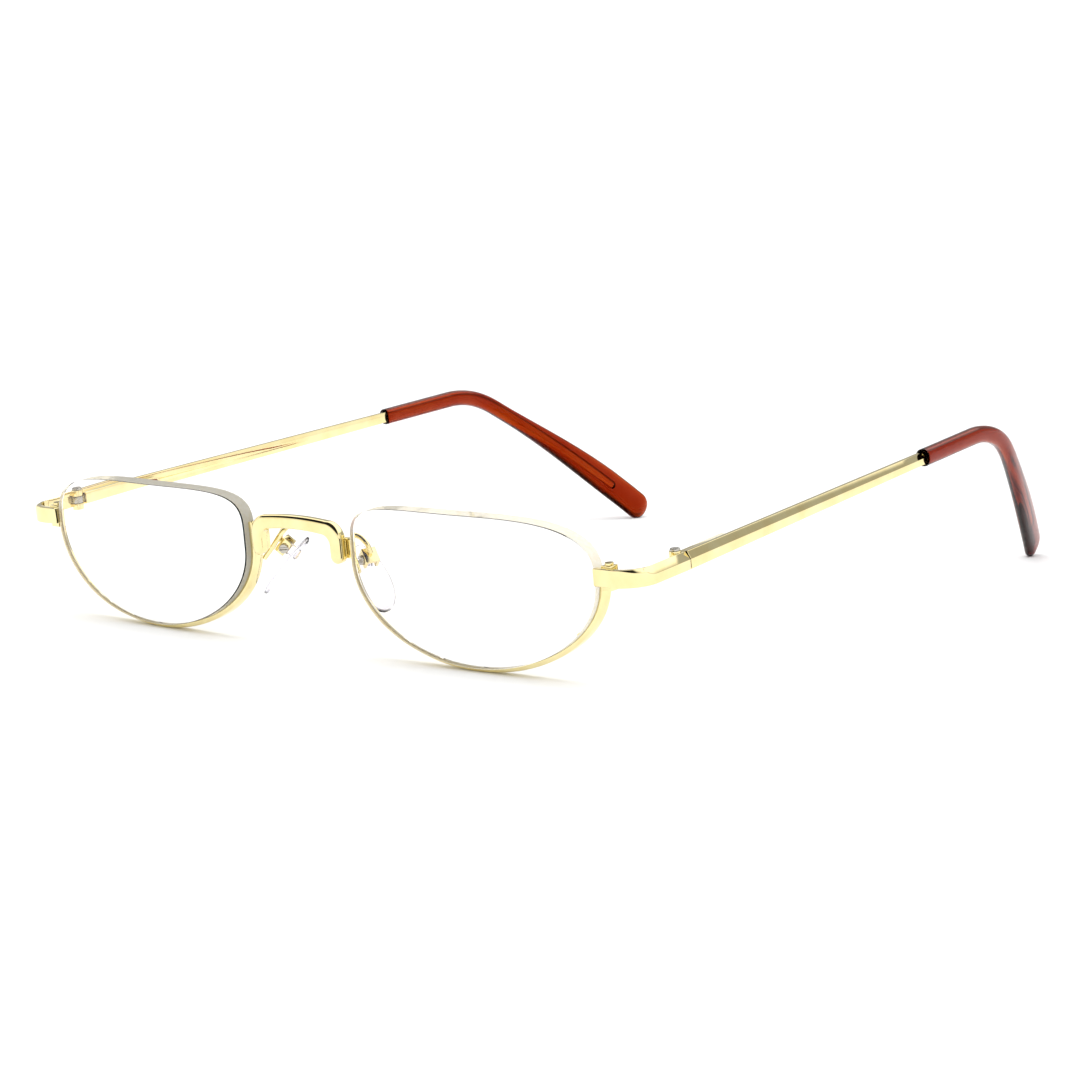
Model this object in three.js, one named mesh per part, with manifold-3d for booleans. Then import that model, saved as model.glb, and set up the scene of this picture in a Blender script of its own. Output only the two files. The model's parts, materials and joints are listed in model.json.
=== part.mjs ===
// Half-moon reading glasses with spring-hinged folding temples, in millimetres, +Z up.
// The front of the glasses faces -Y, the open temples run back along +Y, and the wearer's left is +X.
// Everything is drawn square to the glasses' own axes, then tilted until rims and tips rest on z = 0.
import * as THREE from "three";
import { mergeVertices } from "three/addons/utils/BufferGeometryUtils.js";
import Module from "manifold-3d";

const wasm = await Module();
wasm.setup();

// ---- Driving dimensions. Level 0 is the widest line of the lenses, y = 0 the mean plane of the front. ----
const LENS_X = 36; // lens centre from the middle of the bridge
const EYE_HALF = 25; // half the width over one rim
const EYE_DROP = 15.9; // rim bottom below the widest line
const LENS_RISE = 9.4; // bare top edge above the widest line
const NOSE_CORNER = 5; // superellipse powers of the two top corners of a lens
const TEMPLE_CORNER = 3.1;
const FACE_FORM = rad(2.7); // each lens turns back towards its temple
const FRONT_RADIUS = 150; // lens surface radii and centre thickness
const BACK_RADIUS = 260;
const LENS_THICK = 3.4;
const RIM_WIDE = 0.8; // rim section in the lens plane and through it
const RIM_DEEP = 2;
const RIM_BACK = 0.8; // rim's mid-depth behind the lens's middle surface
const FRONT_SET = -0.5; // rims and lenses sit this far in front of the mean plane
const GROOVE = 0.35;
const FIT = 0.05; // gap left between brazed, clamped or seated neighbours

const BRIDGE_HALF = 10.1; // outer face of a bridge leg
const BRIDGE_TOP = 6.1;
const BRIDGE_BASE = -0.75;
const LEG_WIDE = 2.4;
const BAR_HIGH = 2.2;
const BRIDGE_DEEP = 1.8;
const BRIDGE_FRONT = -2.55;

const PLATE_EDGE = 60.4; // lens-side edge of the endpiece plate
const PLATE_FRONT = -0.5;
const PLATE_THICK = 1.1;
const PLATE_HIGH = 2.75;
const PLATE_LEVEL = 1.3; // mid-height of endpiece, hinge and temple
const BEND_RADIUS = 5; // outer radius of the endpiece's bend
const CHAMFER = 0.65; // width of the slope on the upper outer edge of side leg and bar
const SEAM_Y = 13.75; // where the endpiece ends and the temple starts
const SEAM_X = 67.95; // outer face there

const LEAN = rad(4.1); // an open temple leans in towards the head
const PITCH = rad(0.57); // and rises by this much from the front's square
const AXIS_INSET = 2.1; // hinge axis from the outer face
const AXIS_AHEAD = 1; // hinge axis in front of the seam
const SEAM_GAP = 0.15;
const KNUCKLE_R = 0.95;
const KNUCKLE_HIGH = 1;
const EYE_HIGH = 1.1;
const SCREW_R = 0.42;

const BAR_THICK = 1.4; // temple bar section at the seam and at the tip's mouth
const BAR_TALL = 2.75;
const BAR_TALL_END = 1.95;
const BAR_END = 73; // mouth of the tip, measured along the temple from the hinge axis
const CORE_THICK = 0.9; // flat core wire inside the tip
const CORE_TALL = 1.7;
const CORE_SHORT = 9; // core ends this far before the tip does

const TIP_LENGTH = 71.5;
const TIP_THICK = 2.7;
const TIP_TALL = 3;
const PADDLE_TALL = 5.7;
const BEND_START = 90.5; // ear bend: where it starts, its radius and angle, and the paddle's own curve
const EAR_RADIUS = 19.5;
const EAR_ANGLE = rad(37.5);
const PADDLE_CURVE = rad(10);
const TIP_LEAN = rad(15.6); // paddle turns in towards the head

const BOX_LONG = 14.2; // spring box on the bar's inner face
const BOX_THICK = 1.6;
const BOX_TALL = 1.9;
const BORE_R = 0.6;
const SHAFT_R = 0.28;
const SHAFT_END = 9.2;
const SPRING_R = 0.43;
const WIRE_R = 0.1;
const SPRING_LONG = 5.3;
const SPRING_TURNS = 7;
const STOP_LONG = 0.6;

const PAD_CENTRE = new THREE.Vector3(10.6, 5.5, -4.4);
const PAD_DOWN = new THREE.Vector3(0.62, -0.26, -0.74).normalize(); // long axis, from top to bottom
const PAD_BACK = new THREE.Vector3(0.42, 0.91, 0); // width, from the front edge to the rear edge
const PAD_HALF_LONG = 6.3;
const PAD_HALF_WIDE = 3.1;
const PAD_FACE = 1; // bulge towards the nose, and on the back
const PAD_REAR = 0.6;
const PAD_BOX_Z = 2.6; // pad box above the pad's middle
const PAD_AXIS_Y = -1.9; // pad screw behind the pad's middle plane
const ARM_R = 0.42;

const GOLD = { color: 0xe8d08a, roughness: 0.18, metalness: 1 };
const STEEL = { color: 0xb8b8b4, roughness: 0.3, metalness: 1 };
const CLEAR = { color: 0xf4f6f6, roughness: 0.05, metalness: 0, transparent: true, opacity: 0.3 };
const PAD_CLEAR = { color: 0xeeeef4, roughness: 0.2, metalness: 0, transparent: true, opacity: 0.6 };
const BROWN = { color: 0x8a2c06, roughness: 0.2, metalness: 0 };

function rad(degrees) {
  return (degrees * Math.PI) / 180;
}

// ---- Solids: three.js geometry in and out of manifold-3d for joins and cuts. ----
function solid(geometry) {
  const bare = geometry.clone();
  bare.deleteAttribute("normal");
  bare.deleteAttribute("uv");
  const merged = mergeVertices(bare, 1e-4);
  return new wasm.Manifold(
    new wasm.Mesh({
      numProp: 3,
      vertProperties: new Float32Array(merged.attributes.position.array),
      triVerts: new Uint32Array(merged.index.array),
    }),
  );
}

function geometryOf(made) {
  const mesh = made.getMesh();
  const geometry = new THREE.BufferGeometry();
  geometry.setAttribute("position", new THREE.BufferAttribute(new Float32Array(mesh.vertProperties), 3));
  geometry.setIndex(new THREE.BufferAttribute(new Uint32Array(mesh.triVerts), 1));
  return geometry;
}

function join(...geometries) {
  return geometryOf(geometries.map(solid).reduce((sum, next) => sum.add(next)));
}

function cut(geometry, ...tools) {
  return geometryOf(tools.map(solid).reduce((rest, tool) => rest.subtract(tool), solid(geometry)));
}

function common(a, b) {
  return geometryOf(solid(a).intersect(solid(b)));
}

// ---- Plain shapes. ----
function box(x0, x1, y0, y1, z0, z1) {
  const shape = new THREE.BoxGeometry(x1 - x0, y1 - y0, z1 - z0);
  return shape.translate((x0 + x1) / 2, (y0 + y1) / 2, (z0 + z1) / 2);
}

function pinZ(radius, z0, z1, x = 0, y = 0, sides = 16) {
  const pin = new THREE.CylinderGeometry(radius, radius, z1 - z0, sides);
  return pin.rotateX(Math.PI / 2).translate(x, y, (z0 + z1) / 2);
}

function pinY(radius, y0, y1, sides = 14) {
  return new THREE.CylinderGeometry(radius, radius, y1 - y0, sides).translate(0, (y0 + y1) / 2, 0);
}

function pinX(radius, x0, x1, y, z, sides = 14) {
  const pin = new THREE.CylinderGeometry(radius, radius, x1 - x0, sides);
  return pin.rotateZ(Math.PI / 2).translate((x0 + x1) / 2, y, z);
}

// Extrudes an outline drawn in x and z along y, from front to back.
function slab(shape, front, back, bevel = 0) {
  const geometry = new THREE.ExtrudeGeometry(shape, {
    depth: back - front - 2 * bevel,
    curveSegments: 6,
    bevelEnabled: bevel > 0,
    bevelThickness: bevel,
    bevelSize: bevel,
    bevelOffset: -bevel,
    bevelSegments: 1,
  });
  return geometry.rotateX(Math.PI / 2).translate(0, back - bevel, 0);
}

function polygon(points) {
  return new THREE.Shape(points.map(([x, y]) => new THREE.Vector2(x, y)));
}

function slottedHead(radius, thick, slot) {
  const head = pinZ(radius, 0, thick);
  return cut(head, box(-radius, radius, -slot / 2, slot / 2, thick / 2, thick + 1));
}

// ---- Lens and rim, about the lens centre. ----
// The half-moon as a ray length by angle: 0 at the nose, 90 at the bottom, 180 at the temple, 270 on top.
function outlinePoint(angle, inset) {
  const along = Math.abs(Math.cos(angle)) / (EYE_HALF - inset);
  const below = Math.sin(angle) > 0;
  const across = Math.abs(Math.sin(angle)) / (below ? EYE_DROP - inset : LENS_RISE);
  const corner = Math.cos(angle) > 0 ? NOSE_CORNER : TEMPLE_CORNER;
  const power = below ? 2 : corner;
  const ray = (along ** power + across ** power) ** (-1 / power);
  return new THREE.Vector3(-ray * Math.cos(angle), 0, -ray * Math.sin(angle));
}

class OutlineArc extends THREE.Curve {
  constructor(inset, from, to) {
    super();
    this.inset = inset;
    this.from = from;
    this.to = to;
  }
  getPoint(u, target = new THREE.Vector3()) {
    return target.copy(outlinePoint(this.from + (this.to - this.from) * u, this.inset));
  }
}

// How far the lens's middle surface lies behind its mean plane.
function sag(x, z) {
  const mean = (1 / FRONT_RADIUS + 1 / BACK_RADIUS) / 4;
  return (x * x + z * z - (EYE_HALF * EYE_HALF) / 2) * mean;
}

function follow(geometry) {
  const place = geometry.attributes.position;
  for (let i = 0; i < place.count; i++) {
    place.setY(i, place.getY(i) + sag(place.getX(i), place.getZ(i)));
  }
  return geometry;
}

const RIM_FROM = rad(-10); // the rim's two ends, as outline angles
const RIM_TO = rad(185.3);

// Sweeps a section (x forward, y outward) along the part of the outline that the rim holds.
function alongRim(points, inset, from, to) {
  const path = new OutlineArc(inset, from, to);
  const sweep = new THREE.ExtrudeGeometry(polygon(points), { steps: 56, bevelEnabled: false, extrudePath: path });
  return follow(sweep);
}

function rim() {
  const back = -RIM_BACK - RIM_DEEP / 2;
  const front = -RIM_BACK + RIM_DEEP / 2;
  const out = RIM_WIDE / 2;
  const round = 0.25;
  const mouth = 0.4;
  const section = [
    [back, -out],
    [-RIM_BACK - mouth, -out],
    [-RIM_BACK, -out + GROOVE],
    [-RIM_BACK + mouth, -out],
    [front, -out],
    [front, out - round],
    [front - round, out],
    [back + round, out],
    [back, out - round],
  ];
  return alongRim(section, out, RIM_FROM, RIM_TO);
}

function lens() {
  const inset = RIM_WIDE + FIT;
  const count = 64;
  const edge = [];
  for (let i = 0; i < count; i++) {
    const point = outlinePoint((2 * Math.PI * i) / count, inset);
    edge.push([point.x, point.z]);
  }
  const reach = EYE_HALF + 2;
  const rings = 5;
  const profile = [];
  const centre = sag(0, 0);
  for (let i = 0; i <= rings; i++) {
    const r = (reach * i) / rings;
    profile.push(new THREE.Vector2(r, centre - LENS_THICK / 2 + (r * r) / (2 * FRONT_RADIUS)));
  }
  for (let i = rings; i >= 0; i--) {
    const r = (reach * i) / rings;
    profile.push(new THREE.Vector2(r, centre + LENS_THICK / 2 + (r * r) / (2 * BACK_RADIUS)));
  }
  const blank = new THREE.LatheGeometry(profile, 28);
  const body = common(blank, slab(polygon(edge), -5, 6));
  const mouth = 0.3;
  const ridge = [
    [-RIM_BACK - mouth, -0.8],
    [-RIM_BACK + mouth, -0.8],
    [-RIM_BACK + mouth, -0.02],
    [-RIM_BACK, GROOVE - 3 * FIT],
    [-RIM_BACK - mouth, -0.02],
  ];
  return join(body, alongRim(ridge, inset, RIM_FROM + rad(1), RIM_TO - rad(1)));
}

// ---- Bridge: one bent bar, an upside-down U with round leg ends. ----
function bridge() {
  const shape = new THREE.Shape();
  const outer = 3.2;
  const inner = 1.8;
  const foot = LEG_WIDE / 2;
  const arch = 0.7;
  const xo = BRIDGE_HALF;
  const xi = BRIDGE_HALF - LEG_WIDE;
  const under = BRIDGE_TOP - BAR_HIGH;
  const low = BRIDGE_BASE + foot;
  const quarter = Math.PI / 2;
  shape.moveTo(-xo, low);
  shape.absarc(outer - xo, BRIDGE_TOP - outer, outer, 2 * quarter, quarter, true);
  shape.quadraticCurveTo(0, BRIDGE_TOP + arch, xo - outer, BRIDGE_TOP);
  shape.absarc(xo - outer, BRIDGE_TOP - outer, outer, quarter, 0, true);
  shape.absarc(xo - foot, low, foot, 0, -2 * quarter, true);
  shape.absarc(xi - inner, under - inner, inner, 0, quarter, false);
  shape.quadraticCurveTo(0, under + arch, inner - xi, under);
  shape.absarc(inner - xi, under - inner, inner, quarter, 2 * quarter, false);
  shape.absarc(foot - xo, low, foot, 0, -2 * quarter, true);
  const bar = slab(shape, BRIDGE_FRONT, BRIDGE_FRONT + BRIDGE_DEEP, 0.25);
  const back = BRIDGE_FRONT + BRIDGE_DEEP;
  const seat = LENS_X - EYE_HALF - 0.15; // brazed foot behind each leg, against the rim's outer side
  const left = box(xi + 0.6, seat, back - 0.4, back + 0.6, 0.2, 3.2);
  const right = box(-seat, -xi - 0.6, back - 0.4, back + 0.6, 0.2, 3.2);
  return join(bar, left, right);
}

// ---- Endpiece: flat plate, bend and side leg, with a chamfer on the leg's upper outer edge. ----
const BEND_Y = PLATE_FRONT + BEND_RADIUS;
const LEG_LONG = (SEAM_Y - BEND_Y - BEND_RADIUS * Math.sin(LEAN)) / Math.cos(LEAN);
const BEND_X = SEAM_X - BEND_RADIUS * Math.cos(LEAN) + LEG_LONG * Math.sin(LEAN);

function endpiece() {
  const shape = new THREE.Shape();
  const inside = BEND_RADIUS - PLATE_THICK;
  const backX = -Math.sin(LEAN) * LEG_LONG;
  const backY = Math.cos(LEAN) * LEG_LONG;
  const outX = Math.cos(LEAN);
  const outY = Math.sin(LEAN);
  shape.moveTo(PLATE_EDGE, PLATE_FRONT);
  shape.lineTo(BEND_X, PLATE_FRONT);
  shape.absarc(BEND_X, BEND_Y, BEND_RADIUS, -Math.PI / 2, LEAN, false);
  shape.lineTo(BEND_X + BEND_RADIUS * outX + backX, BEND_Y + BEND_RADIUS * outY + backY);
  shape.lineTo(BEND_X + inside * outX + backX, BEND_Y + inside * outY + backY);
  shape.absarc(BEND_X, BEND_Y, inside, LEAN, -Math.PI / 2, true);
  shape.lineTo(PLATE_EDGE, PLATE_FRONT + PLATE_THICK);
  const plate = new THREE.ExtrudeGeometry(shape, { depth: PLATE_HIGH, bevelEnabled: false, curveSegments: 12 });
  plate.translate(0, 0, PLATE_LEVEL - PLATE_HIGH / 2);
  const chamfer = polygon([
    [0, 0.2],
    [1, 0.2],
    [1, 3],
    [-3, 3],
    [-CHAMFER, PLATE_HIGH / 2],
  ]);
  const wedge = slab(chamfer, -LEG_LONG - 1, 2).rotateZ(LEAN).translate(SEAM_X, SEAM_Y, PLATE_LEVEL);
  return cut(plate, wedge);
}

// ---- Rim lock: two blocks behind the endpiece and the screw that pulls them together. ----
const LOCK_X = 62;
const LOCK_Y = 1.65;
const LOCK_TOP = 2.9;
const LOCK_SPLIT = 1.1;
const LOCK_LOW = -0.9;
const LOCK_HALF = 0.9;
const LOCK_SCREW_R = 0.4;

function lockBlock(z0, z1) {
  const front = PLATE_FRONT + PLATE_THICK + 2 * FIT;
  const block = box(LOCK_X - LOCK_HALF, LOCK_X + LOCK_HALF, front, LOCK_Y + LOCK_HALF, z0, z1);
  return cut(block, pinZ(LOCK_SCREW_R + FIT, z0 - 1, z1 + 1, LOCK_X, LOCK_Y));
}

function lockScrew() {
  const head = slottedHead(0.7, 0.3, 0.2).translate(0, 0, LOCK_TOP + FIT);
  return join(head, pinZ(LOCK_SCREW_R, LOCK_LOW + 0.2, LOCK_TOP + 0.2)).translate(LOCK_X, LOCK_Y, 0);
}

// ---- Hinge, in the temple's frame: origin on the hinge axis at mid-height, y back along the bar. ----
const PLATE_INNER = AXIS_INSET - PLATE_THICK - FIT;
const BARREL_HALF = EYE_HIGH / 2 + 0.1 + KNUCKLE_HIGH;

function hingeLeaf() {
  const leaf = box(PLATE_INNER - 0.4, PLATE_INNER, -4.4, 0.5, -1.2, 1.2);
  const upper = pinZ(KNUCKLE_R, BARREL_HALF - KNUCKLE_HIGH, BARREL_HALF);
  const lower = pinZ(KNUCKLE_R, -BARREL_HALF, KNUCKLE_HIGH - BARREL_HALF);
  const room = pinZ(KNUCKLE_R + 0.12, -EYE_HIGH / 2 - 0.1, EYE_HIGH / 2 + 0.1);
  const bore = pinZ(SCREW_R + 0.04, -BARREL_HALF - 1, BARREL_HALF + 1);
  return cut(join(leaf, upper, lower), room, bore);
}

function hingeScrew() {
  const head = slottedHead(0.8, 0.3, 0.22).translate(0, 0, BARREL_HALF + FIT);
  return join(head, pinZ(SCREW_R, -BARREL_HALF + 0.1, BARREL_HALF + 0.2));
}

const BOX_FRONT = AXIS_AHEAD + SEAM_GAP;
const BORE_START = BOX_FRONT + 0.8;
const BOX_OUT = AXIS_INSET - BAR_THICK - FIT; // the face that is brazed to the bar
const BOX_X = BOX_OUT - BOX_THICK / 2;

function springBox() {
  const half = BOX_TALL / 2;
  const outline = polygon([
    [0, -half],
    [BOX_LONG - 1.2, -half],
    [BOX_LONG, 0.5 - half],
    [BOX_LONG, half - 0.5],
    [BOX_LONG - 1.2, half],
    [0, half],
  ]);
  const body = new THREE.ExtrudeGeometry(outline, { depth: BOX_THICK, bevelEnabled: false });
  body.rotateX(Math.PI / 2).rotateZ(Math.PI / 2).translate(BOX_X - BOX_THICK / 2, BOX_FRONT, 0);
  const bore = pinY(BORE_R, BORE_START, BOX_FRONT + BOX_LONG - 1.2).translate(BOX_X, 0, 0);
  const mouth = pinY(SHAFT_R + 0.06, BOX_FRONT - 1, BORE_START + 0.5).translate(BOX_X, 0, 0);
  return cut(body, bore, mouth);
}

function springSlider() {
  const eye = pinZ(KNUCKLE_R, -EYE_HIGH / 2, EYE_HIGH / 2);
  const neck = box(BOX_X - 0.4, BOX_X + 0.4, 0.5, BOX_FRONT - 0.05, -0.45, 0.45);
  const shaft = pinY(SHAFT_R, 0.8, SHAFT_END).translate(BOX_X, 0, 0);
  return cut(join(eye, neck, shaft), pinZ(SCREW_R + FIT, -2, 2));
}

class Helix extends THREE.Curve {
  getPoint(u, target = new THREE.Vector3()) {
    const turn = 2 * Math.PI * SPRING_TURNS * u;
    return target.set(SPRING_R * Math.cos(turn), SPRING_LONG * u, SPRING_R * Math.sin(turn));
  }
}

function spring() {
  const wire = new THREE.Shape().absarc(0, 0, WIRE_R, 0, 2 * Math.PI);
  const coil = new THREE.ExtrudeGeometry(wire, {
    steps: SPRING_TURNS * 8,
    curveSegments: 3,
    bevelEnabled: false,
    extrudePath: new Helix(),
  });
  return coil.translate(BOX_X, BORE_START + WIRE_R + FIT, 0);
}

function sliderStop() {
  const ring = pinY(BORE_R - 0.06, SHAFT_END - STOP_LONG, SHAFT_END);
  return cut(ring, pinY(SHAFT_R + 0.02, 0, SHAFT_END + 1)).translate(BOX_X, 0, 0);
}

// ---- Temple: bar and core wire in one piece, and the tip, drawn straight and then bent round the ear. ----
const BAR_MID = AXIS_INSET - BAR_THICK / 2;
const TIP_END = BAR_END + TIP_LENGTH;
const EAR_END = BEND_START + EAR_RADIUS * EAR_ANGLE;

function smooth(from, to, at) {
  return THREE.MathUtils.smoothstep(at, from, to);
}

// Downward pitch and inward lean of the temple's centre line at a distance from the hinge axis.
function pitchAt(s) {
  const inBend = THREE.MathUtils.clamp((s - BEND_START) / (EAR_END - BEND_START), 0, 1);
  const inPaddle = THREE.MathUtils.clamp((s - EAR_END) / (TIP_END - EAR_END), 0, 1);
  return EAR_ANGLE * inBend + PADDLE_CURVE * inPaddle;
}

function leanAt(s) {
  return TIP_LEAN * smooth(BEND_START + 4, EAR_END + 6, s);
}

function directionAt(s) {
  const p = pitchAt(s);
  const q = leanAt(s);
  return new THREE.Vector3(-Math.sin(q), Math.cos(q) * Math.cos(p), -Math.cos(q) * Math.sin(p));
}

// Moves a straight piece's points onto the bent centre line; x stays across it and z stays above it.
function bendRoundEar(geometry) {
  const place = geometry.attributes.position;
  const step = 0.25;
  const line = [new THREE.Vector3(0, BEND_START, 0)];
  for (let s = BEND_START; s < TIP_END; s += step) {
    line.push(line.at(-1).clone().addScaledVector(directionAt(s + step / 2), step));
  }
  for (let i = 0; i < place.count; i++) {
    const s = place.getY(i);
    if (s > BEND_START) {
      const at = (s - BEND_START) / step;
      const k = Math.min(Math.floor(at), line.length - 2);
      const spot = line[k].clone().lerp(line[k + 1], at - k);
      const p = pitchAt(s);
      const q = leanAt(s);
      const across = new THREE.Vector3(Math.cos(q), Math.sin(q) * Math.cos(p), -Math.sin(q) * Math.sin(p));
      const above = new THREE.Vector3(0, Math.sin(p), Math.cos(p));
      spot.addScaledVector(across, place.getX(i)).addScaledVector(above, place.getZ(i));
      place.setXYZ(i, spot.x, spot.y, spot.z);
    }
  }
  return geometry;
}

// A round bar along y from y0 to y1 with a domed end, scaled to half-widths that change along it.
function taperedBar(y0, y1, halfX, halfZ, rows, sides, dome) {
  const profile = [new THREE.Vector2(0, y0)];
  for (let i = 0; i <= rows; i++) {
    profile.push(new THREE.Vector2(1, y0 + ((y1 - dome - y0) * i) / rows));
  }
  const caps = 5;
  for (let i = 1; i <= caps; i++) {
    const angle = (Math.PI / 2) * (i / caps);
    profile.push(new THREE.Vector2(i === caps ? 0 : Math.cos(angle), y1 - dome + dome * Math.sin(angle)));
  }
  const bar = new THREE.LatheGeometry(profile, sides);
  const place = bar.attributes.position;
  for (let i = 0; i < place.count; i++) {
    const s = place.getY(i);
    place.setX(i, place.getX(i) * halfX(s));
    place.setZ(i, place.getZ(i) * halfZ(s));
  }
  return bar;
}

function core(extra) {
  const halfX = () => CORE_THICK / 2 + extra;
  const halfZ = () => CORE_TALL / 2 + extra;
  const end = TIP_END - CORE_SHORT + 2 * extra;
  return taperedBar(BAR_END - 1, end, halfX, halfZ, 20, 8, 1);
}

function templeBar() {
  const t = BAR_THICK / 2;
  const h = BAR_TALL / 2;
  const section = polygon([
    [-t, -h],
    [t, -h],
    [t, 0.2],
    [t - CHAMFER, h],
    [-t, h],
  ]);
  const bar = slab(section, BOX_FRONT, BAR_END - FIT);
  const place = bar.attributes.position;
  for (let i = 0; i < place.count; i++) {
    const part = (place.getY(i) - BOX_FRONT) / (BAR_END - BOX_FRONT);
    place.setZ(i, place.getZ(i) * (1 + (BAR_TALL_END / BAR_TALL - 1) * part));
  }
  return bendRoundEar(join(bar, core(0))).translate(BAR_MID, 0, 0);
}

function tip() {
  const halfX = () => TIP_THICK / 2;
  const grow = (s) => smooth(BAR_END + 32, TIP_END - 9, s);
  const halfZ = (s) => (TIP_TALL + (PADDLE_TALL - TIP_TALL) * grow(s)) / 2;
  const body = taperedBar(BAR_END, TIP_END, halfX, halfZ, 30, 14, PADDLE_TALL / 2);
  return bendRoundEar(cut(body, core(0.06))).translate(BAR_MID, 0, 0);
}

// ---- Nose pad, in its own frame: z up along the pad, x towards its rear edge, y towards the nose. ----
function nosePad() {
  const body = new THREE.SphereGeometry(1, 16, 10).rotateX(Math.PI / 2);
  const place = body.attributes.position;
  for (let i = 0; i < place.count; i++) {
    const z = place.getZ(i);
    const wide = PAD_HALF_WIDE * (1 - 0.14 * z);
    const y = place.getY(i);
    place.setXYZ(i, place.getX(i) * wide, y * (y > 0 ? PAD_FACE : PAD_REAR), z * PAD_HALF_LONG);
  }
  const lug = box(-0.65, 0.65, PAD_AXIS_Y - 0.45, 0, PAD_BOX_Z - 0.95, PAD_BOX_Z + 0.95);
  return cut(join(body, lug), pinX(LOCK_SCREW_R + 0.06, -2, 2, PAD_AXIS_Y, PAD_BOX_Z));
}

function padBox() {
  const back = PAD_AXIS_Y - 1.2;
  const cup = box(-1.25, 1.25, back, -1.3, PAD_BOX_Z - 1.3, PAD_BOX_Z + 1.3);
  const room = box(-0.8, 0.8, back + 0.45, 0, PAD_BOX_Z - 2, PAD_BOX_Z + 2);
  return cut(cup, room, pinX(LOCK_SCREW_R + 0.03, -3, 3, PAD_AXIS_Y, PAD_BOX_Z));
}

function padScrew() {
  const head = slottedHead(0.8, 0.4, 0.25).rotateY(-Math.PI / 2).translate(-1.25 - FIT, 0, 0);
  const screw = join(head, pinX(LOCK_SCREW_R, -1.4, 1.2, 0, 0));
  return screw.translate(0, PAD_AXIS_Y, PAD_BOX_Z);
}

function padFrame() {
  const down = PAD_DOWN;
  const back = PAD_BACK.clone().addScaledVector(down, -PAD_BACK.dot(down)).normalize();
  const inward = back.clone().cross(down);
  return new THREE.Matrix4().makeBasis(back, inward, down.clone().negate()).setPosition(PAD_CENTRE);
}

function padArm() {
  const seat = new THREE.Vector3(0, PAD_AXIS_Y - 1.5, PAD_BOX_Z).applyMatrix4(padFrame());
  const wire = new THREE.Shape().absarc(0, 0, ARM_R, 0, 2 * Math.PI);
  const path = new THREE.CatmullRomCurve3([
    new THREE.Vector3(11.5, 1.4, -2.4),
    new THREE.Vector3(10.3, 2.1, -0.8),
    new THREE.Vector3(8.5, 2.7, 1.6),
    new THREE.Vector3(7.9, 3.7, 2.6),
    new THREE.Vector3(8.9, 4.8, 2.5),
    new THREE.Vector3(10.6, 5, 1.3),
    seat,
  ]);
  return new THREE.ExtrudeGeometry(wire, {
    steps: 24,
    curveSegments: 4,
    bevelEnabled: false,
    extrudePath: path,
  });
}

// ---- Assembly. ----
function piece(name, geometry, look) {
  const made = new THREE.Mesh(geometry, new THREE.MeshStandardMaterial(look));
  made.name = name;
  return made;
}

function group(...children) {
  const made = new THREE.Group();
  made.add(...children);
  return made;
}

function eyeSide(side) {
  const eye = group(piece(`${side}_rim`, rim(), GOLD), piece(`${side}_lens`, lens(), CLEAR));
  eye.position.set(LENS_X, FRONT_SET, 0);
  eye.rotation.z = FACE_FORM;
  return eye;
}

function lockSide(side) {
  return group(
    piece(`${side}_endpiece`, endpiece(), GOLD),
    piece(`${side}_rim_lock_upper`, lockBlock(LOCK_SPLIT + FIT, LOCK_TOP), GOLD),
    piece(`${side}_rim_lock_lower`, lockBlock(LOCK_LOW, LOCK_SPLIT - FIT), GOLD),
    piece(`${side}_rim_lock_screw`, lockScrew(), GOLD),
  );
}

function padSide(side) {
  const framed = group(
    piece(`${side}_pad_box`, padBox(), GOLD),
    piece(`${side}_pad_screw`, padScrew(), STEEL),
    piece(`${side}_nose_pad`, nosePad(), PAD_CLEAR),
  );
  framed.applyMatrix4(padFrame());
  return group(piece(`${side}_pad_arm`, padArm(), GOLD), framed);
}

function templeSide(side) {
  const temple = group(
    piece(`${side}_hinge_leaf`, hingeLeaf(), GOLD),
    piece(`${side}_hinge_screw`, hingeScrew(), STEEL),
    piece(`${side}_spring_slider`, springSlider(), STEEL),
    piece(`${side}_slider_stop`, sliderStop(), STEEL),
    piece(`${side}_spring`, spring(), STEEL),
    piece(`${side}_spring_box`, springBox(), GOLD),
    piece(`${side}_temple_bar`, templeBar(), GOLD),
    piece(`${side}_tip`, tip(), BROWN),
  );
  const outer = SEAM_X + AXIS_AHEAD * Math.sin(LEAN);
  const x = outer - AXIS_INSET * Math.cos(LEAN);
  const y = SEAM_Y - AXIS_AHEAD * Math.cos(LEAN) - AXIS_INSET * Math.sin(LEAN);
  temple.position.set(x, y, PLATE_LEVEL);
  temple.rotation.set(PITCH, 0, LEAN, "ZXY");
  return temple;
}

function half(side) {
  const made = group(eyeSide(side), lockSide(side), padSide(side), templeSide(side));
  if (side === "right") made.scale.x = -1;
  return made;
}

const glasses = group(piece("bridge", bridge(), GOLD), half("left"), half("right"));

// Tilts the glasses about x until the lowest points of the rims and of the tips are level.
function lowest(tilt, word) {
  glasses.rotation.x = tilt;
  glasses.updateMatrixWorld(true);
  const bounds = new THREE.Box3();
  glasses.traverse((child) => {
    if (child.isMesh && child.name.endsWith(word)) bounds.expandByObject(child, true);
  });
  return bounds.min.z;
}

function settle() {
  let low = rad(0);
  let high = rad(15);
  for (let i = 0; i < 40; i++) {
    const tilt = (low + high) / 2;
    if (lowest(tilt, "_tip") < lowest(tilt, "_rim")) low = tilt;
    else high = tilt;
  }
  const bounds = new THREE.Box3().setFromObject(glasses, true);
  glasses.position.set(0, -(bounds.min.y + bounds.max.y) / 2, -bounds.min.z);
}

settle();

export default group(glasses);
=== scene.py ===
import json
import math

import bmesh
import bpy
from mathutils import Matrix, Vector


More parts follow.
